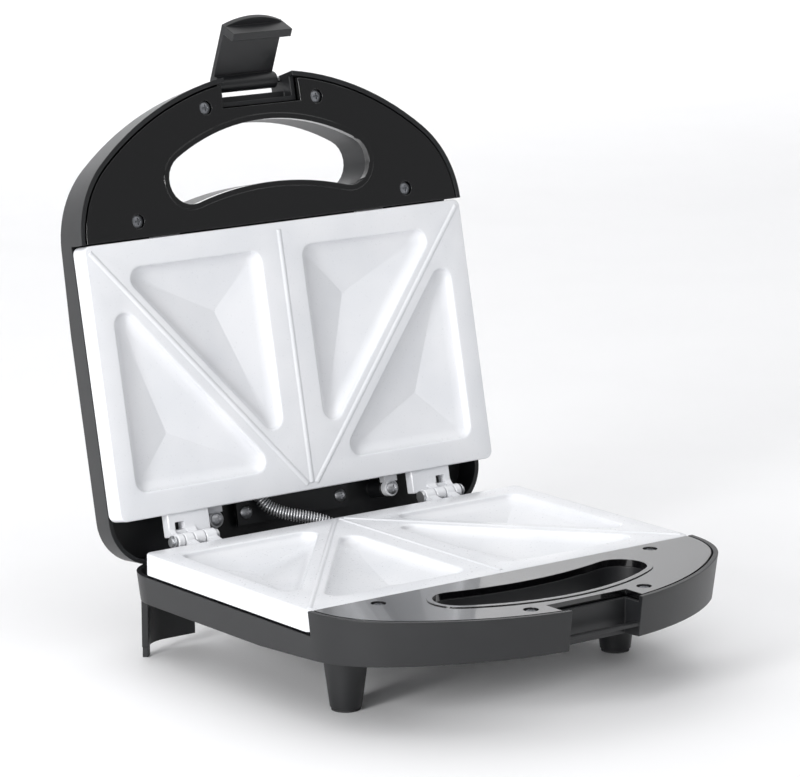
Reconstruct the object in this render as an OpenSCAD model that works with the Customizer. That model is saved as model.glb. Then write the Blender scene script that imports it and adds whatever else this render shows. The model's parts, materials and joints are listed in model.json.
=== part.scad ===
// Sandwich toaster with two cast cooking plates and a lid that swings on rear hinge pins.
// Both halves share one set of shapes, drawn with the cooking surface at height zero and
// the outside of the half pointing down. The lid is the same half turned over and opened.
// Axes: +X to the user's right, -Y to the front handle, +Z up, feet on z = 0.

/* [Plates] */
// Width of a cooking plate
plate_w = 220; // [200:1:240]
// Depth of a cooking plate, front to rear
plate_d = 129; // [120:1:150]
// Height of a plate's side wall
plate_t = 10; // [9:0.5:12]
// Height of the lower cooking surface above the table
plate_height = 53.7; // [50:0.1:70]
// Thickness of the casting over its hollow underside
plate_web = 4.2; // [3:0.1:6]
// Thickness of a plate's outer skirt
plate_skirt = 3.2; // [2:0.1:4]
// Corner radius at the rear of a plate
plate_rear_r = 4; // [3:0.5:12]
// Corner radius at the front of a plate
plate_front_r = 3.5; // [2:0.5:8]
// Height of the cutting ribs above the surface
rib_h = 0.45; // [0.2:0.05:0.5]
// Width of a cutting rib at its foot
rib_w = 2.4; // [1.6:0.1:4]

/* [Pockets] */
// Depth of a pocket at its lowest point
pocket_depth = 8; // [6:0.5:8]
// Depth at the foot of a pocket's curved wall
pocket_wall_depth = 5; // [4:0.5:6]
// Width of a pocket's curved wall
pocket_wall_w = 8; // [5:0.5:10]
// Radius of a pocket's corners
pocket_r = 6; // [4:0.5:8]
// Flat border between a pocket and the plate's side
pocket_side = 11; // [9:0.5:14]
// Flat border between a pocket and the plate's front or rear edge
pocket_end = 12; // [10:0.5:15]
// Distance from the middle rib to the pockets beside it
pocket_mid = 12; // [8:0.5:15]
// Distance from a slanting rib to the pocket outside it
pocket_gap_outer = 6; // [4:0.5:8]
// Distance from a slanting rib to the pocket inside it
pocket_gap_inner = 4.5; // [3:0.5:8]
// Metal left under a pocket
pocket_floor = 2.4; // [1.5:0.1:4]

/* [Housing] */
// How far the housing stands out beyond the plate on each side
side_over = 1; // [0.5:0.1:4]
// Reach of the handle in front of the plate
handle_reach = 72.7; // [66:0.1:80]
// Radius of the handle's front corners
front_r = 50; // [44:0.5:56]
// Radius of the housing's rear corners
rear_r = 24; // [22:0.5:30]
// How far the housing stands out behind the plate
rear_over = 24; // [22:0.5:28]
// Depth of the housing below the cooking surface
housing_depth = 25; // [24.5:0.1:32]
// Depth of the handle at its tip
handle_depth = 18.5; // [17:0.1:22]
// Where the flat underside starts to slope, behind the plate's front edge
slope_start = 40; // [25:1:60]
// Depth of the side rim below the cooking surface
side_rim = 11.5; // [11:0.1:13]
// Wall thickness of the housing
wall = 2.2; // [1.8:0.1:3]
// Draft angle of the housing's walls
draft_angle = 7; // [3:0.5:9]

/* [Handle cover] */
// Thickness of the cover
cover_t = 3; // [2.5:0.1:4]
// Gap between the cover and the housing's rim
cover_gap = 0.6; // [0.3:0.1:1]
// Place of the outer screws, from the centre line
outer_screw_x = 78.4; // [76:0.1:84]
// Place of the outer screws, in front of the plate
outer_screw_fwd = 8.5; // [8:0.1:11]
// Place of the inner screws, from the centre line
inner_screw_x = 32.4; // [30:0.1:36]
// Place of the inner screws, from the handle's tip, negative towards the plate
inner_screw_fwd = -14.9; // [-15.7:0.1:-13.7]

/* [Finger opening] */
// Centre of the opening's rounded end, from the centre line
opening_x = 46.5; // [40:0.5:49]
// Centre of the opening's rounded end, in front of the plate
opening_fwd = 25.3; // [24:0.1:26]
// Radius of the opening's rounded end
opening_r = 12; // [9:0.5:12.5]
// Far edge of the opening on the centre line
opening_far = 49.6; // [46:0.1:50]
// Near edge of the opening on the centre line
opening_near = 19.6; // [17:0.1:22]
// Width of the raised lip round the opening
lip_w = 2.6; // [1.5:0.1:3]
// Height of the raised lip
lip_h = 0.4; // [0.2:0.05:0.45]

/* [Latch] */
// Half width of the notch in both handles
notch_half = 20; // [19:0.5:22]
// Rear wall of the notch, from the handle's tip, negative towards the plate
notch_fwd = -13.3; // [-13.5:0.1:-11.7]
// Width of the latch
latch_w = 34; // [28:0.5:35]
// Place of the latch's pivot, from the handle's tip, negative towards the plate
pivot_fwd = -4.2; // [-4.7:0.1:-4.1]
// Place of the latch's pivot, outward of the cooking surface
pivot_out = 12.3; // [12:0.1:12.6]
// Distance from the pivot to the inner face of the latch's lip
latch_reach = 26.2; // [26:0.1:28]
// Thickness of the latch's plate
latch_t = 2.6; // [2.2:0.1:3]
// Thickness of the latch's lip
lip_t = 4; // [3:0.1:5]
// Radius of the latch's pivot pin
latch_pin_r = 1.5; // [1.2:0.1:1.7]
// Angle of the latch away from its closed place, as it hangs at rest
latch_rest = 57; // [45:1:60]

/* [Hinge] */
// Angle of the lid from closed, as it stands open at rest
open_angle = 102.2; // [95:0.1:105]
// Gap between the two halves when closed
closed_gap = 1.2; // [1.2:0.1:2]
// Hinge line behind the plate's rear edge
hinge_back = 12.8; // [12.5:0.1:14]
// Hinge line below the lower cooking surface
hinge_low = 1.5; // [1:0.1:2]
// Radius of a hinge knuckle
knuckle_r = 3.6; // [3.4:0.1:4]
// Radius of a hinge pin
hinge_pin_r = 2; // [1.5:0.1:2]
// Inner end of the knuckles, from the centre line
knuckle_x = 62; // [60:0.5:63]

/* [Feet] */
// Place of the front feet, from the centre line
foot_x = 78.5; // [70:0.5:80]
// Place of the front feet, behind the plate's front edge
foot_y = 15.8; // [12:0.1:30]
// Radius of a front foot where it leaves the housing
foot_top_r = 11.2; // [9:0.1:12]
// Radius of a front foot at its pad
foot_low_r = 7.2; // [6.5:0.1:8]
// Thickness of the rear legs
leg_t = 3; // [2.5:0.1:4]
// Inner end of a rear leg, from the centre line
leg_x = 70; // [62:0.5:78]

/* [Sprung conduit] */
// Radius of the coil, to the middle of its wire
coil_r = 2.9; // [2.5:0.1:3.2]
// Diameter of the wire
coil_wire = 0.5; // [0.4:0.05:0.5]
// Rise of one curl along the conduit
coil_pitch = 1.35; // [1.3:0.05:1.8]

/* [Clearances] */
// Running clearance round a pin that turns, on the radius
run_gap = 0.06; // [0.03:0.01:0.1]
// Clearance round a pin or screw that stays put, on the radius
fit_gap = 0.02; // [0.02:0.01:0.05]
// Clearance round a screw in its hole, on the radius
screw_gap = 0.25; // [0.15:0.05:0.4]
// Small gap where two fixed pieces meet
seat_gap = 0.05; // [0.02:0.01:0.1]

/* [Hidden] */
$fn = 64;

// Outline of a half: a big front arc, two front corners, straight sides and a square rear.
half_w = plate_w / 2 + side_over;
rear_wall = plate_d + rear_over;
corner_x = half_w - front_r;
front_span = handle_reach - front_r;
arc_y = (corner_x * corner_x - front_span * front_span) / (2 * front_span);
arc_r = arc_y + handle_reach;
arc_half = atan2(corner_x, arc_y);
rear_x = half_w - rear_r;
rear_y = rear_wall - rear_r;
draft = tan(draft_angle);
notch_y = handle_reach + notch_fwd;
pivot_y = handle_reach + pivot_fwd;
inner_screw_y = handle_reach + inner_screw_fwd;
slope_ratio = (housing_depth - handle_depth) / (slope_start + handle_reach);
step_y = -0.6;
floor_z = -housing_depth + wall;

// Finger opening: two long arcs that run into its round ends.
far_c = (opening_x * opening_x + opening_fwd * opening_fwd - pow(opening_far - opening_r, 2))
    / (2 * (opening_fwd - opening_far + opening_r));
near_c = (opening_x * opening_x + opening_fwd * opening_fwd - pow(opening_near + opening_r, 2))
    / (2 * (opening_fwd - opening_near - opening_r));
far_half = atan2(opening_x, opening_fwd - far_c);
near_half = atan2(opening_x, opening_fwd - near_c);

// Pockets: right-angled corner, corner beside it across X, and corner beside it along Y.
rib_slope = plate_d / (plate_w / 2);
rib_angle = atan(rib_slope);
outer_x = plate_w / 2 - pocket_side;
outer_rear = plate_d - pocket_end;
outer_front = plate_d - rib_slope * outer_x + pocket_gap_outer / cos(rib_angle);
outer_in = (plate_d - outer_rear + pocket_gap_outer / cos(rib_angle)) / rib_slope;
inner_rear = plate_d - rib_slope * pocket_mid - pocket_gap_inner / cos(rib_angle);
inner_out = (plate_d - pocket_end - pocket_gap_inner / cos(rib_angle)) / rib_slope;
outer_pocket = [[outer_x, outer_rear], [outer_in, outer_rear], [outer_x, outer_front]];
inner_pocket = [[pocket_mid, pocket_end], [inner_out, pocket_end], [pocket_mid, inner_rear]];

// Hinge
hinge_y = plate_d + hinge_back;
knuckle_steps = [0, 6, 6.4, 12.2, 12.6, 17.6, 18, 21.6];
window_x = 14.6;
window_w = 5.2;
window_y = 4.6;
window_d = 3.8;

// Latch, in its closed place seen from the side: forward and down from the pivot
latch_inner = 2;
latch_dome = 3.6;
ledge_d = 2.9;
latch_pivot_z = closed_gap + pivot_out;
catch_top = 10.8;
catch_low = latch_reach - 0.35 - latch_pivot_z;

// Height of parts under the plates
underside = pocket_depth + pocket_floor;
heater_r = 3.3;
heater_z = -underside - 0.15 - heater_r;
heater_x = plate_w / 2 - 40;
heater_cold = 22;
heater_front = 30;
heater_rear = plate_d - 30;
heater_bend = 18;
reflector_z = -19.6;
reflector_t = 0.6;
reflector_w = plate_w - 24;
reflector_h = 7;
reflector_hole = 40;
inner_post_x = plate_w / 2 - 22;
clip_x = 30;
clip_w = 10;
bracket_w = 66;
bracket_d = 11;
bracket_y = plate_d + 6.5;
bracket_z = -19.9;
bracket_t = 1.5;
bracket_screw_x = 28;
clamp_x = 9;
clamp_y = plate_d + 7;
upper_clamp_x = -22;
tab_x = 52;
tab_y = plate_d + 6.6;
tab_r = 4;
tab_top = -8;
tab_low = -12;
screw_r = 1.45;
head_r = 3.2;
inlet_x = 40;
inlet_z = -18.2;
inlet_r = 4;

// Place of the whole part: feet at z = 0, middle of the open part at y = 0.
front_edge = sqrt(arc_r * arc_r - notch_half * notch_half) - arc_y;
tip_r = arc_r - draft * handle_depth;
tip_fwd = sqrt(tip_r * tip_r - notch_half * notch_half) - arc_y;
tip_low = handle_depth + (handle_reach - tip_fwd) * slope_ratio;
rear_reach = hinge_y - (hinge_y + tip_fwd) * cos(open_angle)
    + (hinge_low + closed_gap + tip_low) * sin(open_angle);
mid_y = (rear_reach - front_edge) / 2;

module on_table() {
    translate([0, -mid_y, plate_height]) children();
}

// Turns a half over and opens it on the hinge line.
module as_lid() {
    on_table() translate([0, hinge_y, -hinge_low]) rotate([-open_angle, 0, 0])
        translate([0, -hinge_y, hinge_low + closed_gap]) mirror([0, 0, 1]) children();
}

// Outline of a half seen from the cooking side, drawn in by inset: front arc, corner, rear corner.
function arc_points(c, r, a0, a1, n, last) =
    [for (i = [0 : last]) let (a = a0 + (a1 - a0) * i / n) c + r * [cos(a), sin(a)]];
function right_side(inset) = concat(
    arc_points([0, arc_y], arc_r - inset, -90, arc_half - 90, 16, 15),
    arc_points([corner_x, 0], front_r - inset, arc_half - 90, 0, 12, 12),
    arc_points([rear_x, rear_y], rear_r - inset, 0, 90, 12, 12));
function outline(inset) = let (right = right_side(inset), n = len(right))
    concat(right, [for (i = [n - 1 : -1 : 1]) [-right[i][0], right[i][1]]]);

// The outline as a solid with drafted walls. The inset grows with depth.
module handle_solid(z_low, z_high, inset, slope = draft) {
    low = outline(inset - slope * z_low);
    high = outline(inset - slope * z_high);
    n = len(low);
    polyhedron(
        points = concat([for (p = low) [p[0], p[1], z_low]], [for (p = high) [p[0], p[1], z_high]]),
        faces = concat([[for (j = [0 : n - 1]) j]], [[for (j = [n - 1 : -1 : 0]) n + j]],
            [for (j = [0 : n - 1]) [j, n + j, n + (j + 1) % n, (j + 1) % n]]));
}

// Everything below the underside, which slopes up towards the handle, raised by lift.
module below_underside(lift) {
    low = lift - housing_depth;
    rotate([90, 0, 90]) translate([0, 0, -200]) linear_extrude(400)
        polygon([[300, low], [slope_start, low], [-160, low + (slope_start + 160) * slope_ratio],
            [-160, -90], [300, -90]]);
}

// Outline of the finger opening, grown by a margin.
module opening_outline(margin) {
    steps = 24;
    far = [for (i = [0 : steps]) let (a = 90 - far_half + 2 * far_half * i / steps)
        [(opening_far - far_c + margin) * cos(a), -far_c - (opening_far - far_c + margin) * sin(a)]];
    left = [for (i = [1 : 11]) let (a = 90 + far_half + (180 - far_half + near_half) * i / 12)
        [-opening_x + (opening_r + margin) * cos(a), -opening_fwd - (opening_r + margin) * sin(a)]];
    near = [for (i = [0 : steps]) let (a = 90 + near_half - 2 * near_half * i / steps)
        [(opening_near - near_c - margin) * cos(a), -near_c - (opening_near - near_c - margin) * sin(a)]];
    right = [for (i = [1 : 11]) let (a = 270 - near_half + (180 - far_half + near_half) * i / 12)
        [opening_x + (opening_r + margin) * cos(a), -opening_fwd - (opening_r + margin) * sin(a)]];
    polygon(concat(far, left, near, right));
}

module notch_block(side, back, z_low, z_high) {
    translate([-notch_half - side, -handle_reach - 10, z_low])
        cube([2 * (notch_half + side), handle_reach + 10 - notch_y + back, z_high - z_low]);
}

// Post with a pilot hole for a screw that comes from the cooking side.
module post(x, y, r, low, top) {
    translate([x, y, low]) cylinder(h = top - low, r = r);
}

module cover_screw_places() {
    for (side = [-1, 1]) {
        translate([side * outer_screw_x, -outer_screw_fwd, 0]) children();
        translate([side * inner_screw_x, -inner_screw_y, 0]) children();
    }
}

// Half housing with its open side up: a drafted bowl with handle, notch, posts and opening tube.
module half_housing() {
    difference() {
        union() {
            difference() {
                handle_solid(-housing_depth - 1, 0, 0);
                difference() {
                    handle_solid(floor_z - 2, 1, wall);
                    below_underside(wall);
                }
            }
            intersection() {
                handle_solid(-housing_depth, -cover_t - seat_gap, 0.2);
                union() {
                    translate([0, 0, -housing_depth]) linear_extrude(housing_depth - cover_t - seat_gap)
                        opening_outline(wall);
                    notch_block(wall, wall, -housing_depth, -cover_t - seat_gap);
                    translate([-half_w, step_y - wall, -housing_depth])
                        cube([2 * half_w, wall, housing_depth - cover_t - seat_gap]);
                    cover_screw_places() translate([0, 0, -housing_depth])
                        cylinder(h = housing_depth - cover_t - seat_gap, r = 4);
                }
            }
            for (side = [-1, 1]) {
                post(side * tab_x, tab_y, 4.4, floor_z - 1, tab_low - seat_gap);
                post(side * bracket_screw_x, bracket_y, 3.6, floor_z - 1, bracket_z - seat_gap);
                for (y = [24, plate_d - 24])
                    post(side * inner_post_x, y, 4, floor_z - 1, reflector_z - seat_gap);
            }
        }
        translate([-200, step_y, -side_rim]) cube([400, 400, side_rim + 2]);
        below_underside(0);
        translate([0, 0, -housing_depth - 1]) linear_extrude(housing_depth + 2) opening_outline(0);
        notch_block(0, 0, -housing_depth - 1, 2);
        cover_screw_places() translate([0, 0, -14]) cylinder(h = 14, r = screw_r + fit_gap);
        for (side = [-1, 1]) {
            translate([side * tab_x, tab_y, -20]) cylinder(h = 20, r = screw_r + fit_gap);
            translate([side * bracket_screw_x, bracket_y, -22.6]) cylinder(h = 20, r = screw_r + fit_gap);
            translate([side * 60 - 9, step_y - wall - 1, -9.6]) cube([18, wall + 2, 3.8]);
        }
    }
}

// Tapered round front foot with a recess for its pad. Its top ends inside the sloped floor.
module front_foot() {
    foot_top = -housing_depth + max(0, slope_start - foot_y) * slope_ratio + wall / 2;
    foot_h = plate_height + foot_top - 1.5;
    difference() {
        translate([0, 0, -plate_height + 1.5]) cylinder(h = foot_h, r1 = foot_low_r, r2 = foot_top_r);
        translate([0, 0, -plate_height]) cylinder(h = 3, r = 2.5 + fit_gap);
    }
}

// Rear leg that follows the corner of the housing and keeps the cord when it is wrapped.
module rear_leg() {
    leg_r = rear_r - draft * housing_depth - 0.3;
    leg_low = plate_height - 5;
    middle = [rear_x, rear_y];
    translate([0, 0, -leg_low]) linear_extrude(leg_low - housing_depth + 1.5)
        polygon(concat(arc_points(middle, leg_r, 36, 90, 9, 9),
            [[leg_x, rear_y + leg_r], [leg_x, rear_y + leg_r - leg_t]],
            arc_points(middle, leg_r - leg_t, 90, 36, 9, 9)));
    // Foot of the leg, at its outer end and slightly thinner than the leg
    translate([0, 0, -plate_height]) linear_extrude(6)
        polygon(concat(arc_points(middle, leg_r - 0.2, 38, 52, 4, 4),
            arc_points(middle, leg_r - leg_t + 0.2, 52, 38, 4, 4)));
}

module base_housing() {
    color([0.05, 0.05, 0.055]) on_table() difference() {
        union() {
            half_housing();
            for (side = [0, 1]) mirror([side, 0, 0]) {
                translate([foot_x, foot_y, 0]) front_foot();
                rear_leg();
            }
            // Catch bar across the notch for the latch's lip
            translate([-notch_half - 1, -handle_reach + 3.6, -catch_low - 1.6])
                cube([2 * notch_half + 2, 3, 1.6]);
            translate([clamp_x - 6, clamp_y - 5, floor_z - 0.5]) cube([12, 10, 3.2]);
        }
        translate([clamp_x, clamp_y, -21.5]) cylinder(h = 20, r = 4.3 + fit_gap);
        translate([inlet_x, rear_wall - 12, inlet_z]) rotate([-90, 0, 0]) cylinder(h = 20, r = inlet_r + fit_gap);
    }
}

module handle_cover() {
    difference() {
        union() {
            translate([0, 0, -cover_t]) linear_extrude(cover_t) polygon(outline(wall + cover_gap + 0.4));
            translate([0, 0, -1]) linear_extrude(1 + lip_h) opening_outline(lip_w);
        }
        translate([-200, step_y - 0.2, -cover_t - 1]) cube([400, 400, cover_t + 4]);
        translate([0, 0, -cover_t - 1]) linear_extrude(cover_t + 3) opening_outline(0);
        notch_block(wall + cover_gap, wall + cover_gap, -cover_t - 1, 2);
        cover_screw_places() {
            translate([0, 0, -cover_t - 1]) cylinder(h = cover_t + 2, r = screw_r + screw_gap);
            translate([0, 0, -1.8]) cylinder(h = 3, r = head_r + screw_gap);
        }
    }
}

module base_handle_cover() {
    color([0.06, 0.06, 0.065]) on_table() handle_cover();
}

module lid_handle_cover() {
    color([0.06, 0.06, 0.065]) as_lid() handle_cover();
}

// Pan head screw with a cross recess, its seat at height zero.
module pan_screw(length) {
    difference() {
        union() {
            translate([0, 0, -length]) cylinder(h = length, r = screw_r);
            intersection() {
                cylinder(h = 1.6, r = head_r);
                translate([0, 0, -3.6]) sphere(r = 5.2);
            }
        }
        for (a = [0, 90]) rotate([0, 0, a]) translate([-1.6, -0.35, 0.8]) cube([3.2, 0.7, 2]);
    }
}

module cover_screws() {
    cover_screw_places() translate([0, 0, -1.8 + seat_gap / 2]) pan_screw(10);
}

module base_cover_screws() {
    color("dimgray") on_table() cover_screws();
}

module lid_cover_screws() {
    color("dimgray") as_lid() cover_screws();
}

// Radius of the circle that fits inside a triangle, and its centre.
function side_len(p, q) = norm(p - q);
function tri_area(t) = abs((t[1][0] - t[0][0]) * (t[2][1] - t[0][1]) - (t[2][0] - t[0][0]) * (t[1][1] - t[0][1])) / 2;
function tri_sides(t) = [side_len(t[1], t[2]), side_len(t[0], t[2]), side_len(t[0], t[1])];
function in_radius(t) = let (s = tri_sides(t)) 2 * tri_area(t) / (s[0] + s[1] + s[2]);
function in_centre(t) = let (s = tri_sides(t)) (s[0] * t[0] + s[1] * t[1] + s[2] * t[2]) / (s[0] + s[1] + s[2]);
// Direction square to the side from p to q, away from point c.
function out_angle(p, q, c) = let (n = [q[1] - p[1], p[0] - q[0]], s = n * ((p + q) / 2 - c) > 0 ? 1 : -1)
    atan2(s * n[1], s * n[0]);
function turn(a) = a > 180 ? a - 360 : (a < -180 ? a + 360 : a);
// Triangle drawn in by inset, with corners of radius r.
function tri_ring(t, inset, r, n = 6) = let (c = in_centre(t), k = (in_radius(t) - inset - r) / in_radius(t))
    [for (i = [0 : 2]) let (p = t[i], before = t[(i + 2) % 3], after = t[(i + 1) % 3],
        a0 = out_angle(before, p, c), a1 = out_angle(p, after, c), m = c + (p - c) * k)
        for (j = [0 : n - 1]) let (a = a0 + turn(a1 - a0) * j / (n - 1)) m + r * [cos(a), sin(a)]];

// Solid that cuts one pocket: curved walls, then three slopes that meet at the lowest point.
module pocket_cut(t) {
    steps = 6;
    rim = [[for (p = tri_ring(t, 0, pocket_r)) [p[0], p[1], 1]]];
    cove = [for (i = [0 : steps]) let (a = 90 * i / steps, d = pocket_wall_w * (1 - cos(a)),
        z = -pocket_wall_depth * sin(a), r = max(0.3, pocket_r * (1 - d / pocket_wall_w)))
        [for (p = tri_ring(t, d, r)) [p[0], p[1], z]]];
    low = [[for (p = tri_ring(t, in_radius(t) - 0.6, 0.2)) [p[0], p[1], -pocket_depth]]];
    rings = concat(rim, cove, low);
    n = len(rings[0]);
    count = len(rings);
    walls = [for (k = [0 : count - 2], j = [0 : n - 1]) let (a = k * n + j, b = k * n + (j + 1) % n)
        each [[a, b, a + n], [b, b + n, a + n]]];
    top = [[for (j = [n - 1 : -1 : 0]) j]];
    bottom = [[for (j = [0 : n - 1]) (count - 1) * n + j]];
    polyhedron(points = [for (ring = rings) each ring], faces = concat(walls, top, bottom));
}

// Places both pockets of the right half, and their mirror images.
module each_pocket() {
    for (side = [0, 1]) mirror([side, 0, 0]) {
        pocket_cut(outer_pocket);
        pocket_cut(inner_pocket);
    }
}

module rib(length) {
    rotate([90, 0, 90]) linear_extrude(length)
        polygon([[-rib_w / 2, -1], [-rib_w / 2, 0], [-rib_w / 5, rib_h], [rib_w / 5, rib_h], [rib_w / 2, 0], [rib_w / 2, -1]]);
}

module plate_outline(inset) {
    a = [plate_w / 2 - plate_rear_r, plate_d - plate_rear_r];
    b = [plate_w / 2 - plate_front_r, plate_front_r];
    rear = max(0.5, plate_rear_r - inset);
    front = max(0.5, plate_front_r - inset);
    shift_r = plate_rear_r - inset - rear;
    shift_f = plate_front_r - inset - front;
    right = concat(
        [for (i = [0 : 6]) let (t = -90 + 15 * i)
            [b[0] + shift_f + front * cos(t), b[1] - shift_f + front * sin(t)]],
        [for (i = [0 : 6]) let (t = 15 * i) [a[0] + shift_r + rear * cos(t), a[1] + shift_r + rear * sin(t)]]);
    n = len(right);
    polygon(concat(right, [for (i = [n - 1 : -1 : 0]) [-right[i][0], right[i][1]]]));
}

// Cooking plate without its hinge knuckles.
module plate_body() {
    difference() {
        union() {
            difference() {
                translate([0, 0, -plate_t]) linear_extrude(plate_t) plate_outline(0);
                translate([0, 0, -plate_t - 1]) linear_extrude(plate_t + 1 - plate_web) plate_outline(plate_skirt);
            }
            for (side = [0, 1], t = [outer_pocket, inner_pocket]) mirror([side, 0, 0])
                translate([0, 0, -underside]) linear_extrude(underside - plate_web + 1)
                polygon(tri_ring(t, -1.6, pocket_r + 1.6));
            // Rear tabs for the screws and front tongues under the handle cover
            for (side = [-1, 1]) {
                translate([side * tab_x, tab_y, tab_low]) cylinder(h = tab_top - tab_low, r = tab_r);
                translate([side * tab_x - tab_r, plate_d - plate_skirt, tab_low])
                    cube([2 * tab_r, tab_y - plate_d + plate_skirt, tab_top - tab_low]);
                translate([side * 60 - 8, -4.2, -9]) cube([16, 4.2 + plate_skirt, 2.6]);
            }
            translate([0, plate_front_r, 0]) rotate([0, 0, 90]) rib(plate_d - 2 * plate_front_r);
            for (side = [0, 1]) mirror([side, 0, 0]) translate([0, plate_d, 0])
                rotate([0, 0, -rib_angle]) translate([4, 0, 0])
                rib(norm([plate_w / 2, plate_d]) - 8);
        }
        each_pocket();
        for (side = [-1, 1]) translate([side * tab_x, tab_y, -30]) cylinder(h = 40, r = screw_r + screw_gap);
    }
}

// Hinge knuckle with its arm back to the plate, between two places from the centre line.
module knuckle(x0, x1, axis_z, arm_low, arm_top) {
    rotate([90, 0, 90]) translate([0, 0, x0]) {
        linear_extrude(x1 - x0) polygon([[plate_d - 0.5, arm_low], [plate_d - 0.5, arm_top],
            [hinge_y, max(arm_top, axis_z + knuckle_r - 0.4)], [hinge_y, axis_z - knuckle_r + 0.4]]);
        translate([hinge_y, axis_z, 0]) cylinder(h = x1 - x0, r = knuckle_r);
    }
}

// Block that carries the upper knuckles, with a window through it.
module hinge_block() {
    translate([knuckle_x - 2, plate_d - 0.5, -6.8]) difference() {
        cube([knuckle_steps[7] + 1.8, hinge_back - 1.3, 5.2]);
        translate([window_x, window_y, -1]) cube([window_w, window_d, 8]);
    }
}

module pin_bore(axis_z, r) {
    translate([-120, hinge_y, axis_z]) rotate([0, 90, 0]) cylinder(h = 240, r = r);
}

module lower_plate() {
    k = knuckle_steps;
    color([0.9, 0.9, 0.91]) on_table() difference() {
        union() {
            plate_body();
            for (side = [0, 1]) mirror([side, 0, 0]) {
                knuckle(knuckle_x + k[0], knuckle_x + k[1], -hinge_low, -6, -3);
                knuckle(knuckle_x + k[4], knuckle_x + k[5], -hinge_low, -6, -3);
            }
        }
        pin_bore(-hinge_low, hinge_pin_r + fit_gap);
    }
}

module upper_plate() {
    k = knuckle_steps;
    axis_z = hinge_low + closed_gap;
    color([0.9, 0.9, 0.91]) as_lid() difference() {
        union() {
            plate_body();
            for (side = [0, 1]) mirror([side, 0, 0]) {
                knuckle(knuckle_x + k[2], knuckle_x + k[3], axis_z, -7, -1);
                knuckle(knuckle_x + k[6], knuckle_x + k[7], axis_z, -7, -1);
                hinge_block();
            }
        }
        pin_bore(axis_z, hinge_pin_r + run_gap);
    }
}

module plate_screws() {
    for (side = [-1, 1]) translate([side * tab_x, tab_y, tab_top + seat_gap]) pan_screw(11);
}

module lower_plate_screws() {
    color("silver") on_table() plate_screws();
}

module upper_plate_screws() {
    color("silver") as_lid() plate_screws();
}

// Tubular heater: an open loop with two cold ends at the rear.
module heater() {
    translate([0, 0, heater_z]) {
        for (side = [0, 1]) mirror([side, 0, 0]) {
            translate([heater_x - heater_bend, heater_rear - heater_bend, 0])
                rotate_extrude(angle = 90) translate([heater_bend, 0]) circle(r = heater_r, $fn = 32);
            translate([heater_x - heater_bend, heater_front + heater_bend, 0]) rotate([0, 0, -90])
                rotate_extrude(angle = 90) translate([heater_bend, 0]) circle(r = heater_r, $fn = 32);
            translate([heater_x, heater_front + heater_bend, 0]) rotate([-90, 0, 0])
                cylinder(h = heater_rear - heater_front - 2 * heater_bend, r = heater_r, $fn = 32);
            translate([heater_cold, heater_rear, 0]) rotate([0, 90, 0])
                cylinder(h = heater_x - heater_bend - heater_cold, r = heater_r, $fn = 32);
            translate([heater_cold - 8, heater_rear, 0]) rotate([0, 90, 0]) cylinder(h = 9, r = 1.2);
        }
        translate([heater_bend - heater_x, heater_front, 0]) rotate([0, 90, 0])
            cylinder(h = 2 * (heater_x - heater_bend), r = heater_r, $fn = 32);
    }
}

module lower_heater() {
    color("dimgray") on_table() heater();
}

module upper_heater() {
    color("dimgray") as_lid() heater();
}

// Two saddle clips that hold the heater's front run against the plate.
module heater_clips() {
    for (side = [-1, 1]) translate([side * clip_x - clip_w / 2, heater_front, heater_z]) rotate([90, 0, 90])
        linear_extrude(clip_w) difference() {
            union() {
                circle(r = heater_r + 1.1, $fn = 48);
                translate([-10, 2.4]) square([20, 0.9]);
            }
            circle(r = heater_r + seat_gap, $fn = 48);
            translate([-12, 3.3]) square([24, 10]);
        }
}

module lower_heater_clips() {
    color("gray") on_table() heater_clips();
}

module upper_heater_clips() {
    color("gray") as_lid() heater_clips();
}

// Bright sheet tray under the heater.
module reflector() {
    w = reflector_w;
    d = plate_d - 20;
    translate([-w / 2, 9, reflector_z]) difference() {
        cube([w, d, reflector_h]);
        translate([reflector_t, reflector_t, reflector_t]) cube([w - 2 * reflector_t, d - 2 * reflector_t, 8]);
        for (x = [reflector_hole, w - reflector_hole]) translate([x, d / 2, -1]) cylinder(h = 3, r = 2.2);
    }
}

module lower_reflector() {
    color("gainsboro") on_table() reflector();
}

module upper_reflector() {
    color("gainsboro") as_lid() reflector();
}

// Strip across the rear, under the plate's edge, that carries the conduit's clamp.
module bracket(hole_x) {
    difference() {
        translate([-bracket_w / 2, bracket_y - 5, bracket_z]) cube([bracket_w, bracket_d, bracket_t]);
        for (side = [-1, 1]) translate([side * bracket_screw_x, bracket_y, bracket_z - 1])
            cylinder(h = 4, r = screw_r + screw_gap);
        translate([hole_x, clamp_y, bracket_z - 1]) cylinder(h = 4, r = 4.3 + seat_gap);
    }
}

module bracket_screws() {
    for (side = [-1, 1]) translate([side * bracket_screw_x, bracket_y, bracket_z + bracket_t + seat_gap])
        pan_screw(4);
}

module lower_bracket() {
    color([0.1, 0.1, 0.1]) on_table() bracket(clamp_x);
}

module lower_bracket_screws() {
    color("silver") on_table() bracket_screws();
}

module upper_bracket() {
    color([0.1, 0.1, 0.1]) as_lid() bracket(-200);
}

module upper_bracket_screws() {
    color("silver") as_lid() bracket_screws();
}

module thermostat() {
    color("silver") on_table() translate([0, plate_d / 2, -plate_web - seat_gap]) {
        translate([0, 0, -7]) cylinder(h = 7, r = 7.5);
        for (side = [-1, 1]) translate([side * 4 - 0.4, -2.5, -12]) cube([0.8, 5, 6]);
    }
}

module thermal_fuse() {
    color("white") on_table() translate([0, plate_d / 2 + 14, -plate_web - 2.3]) rotate([-90, 0, 0]) {
        cylinder(h = 16, r = 2);
        translate([0, 0, -3]) cylinder(h = 22, r = 0.5);
    }
}

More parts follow.
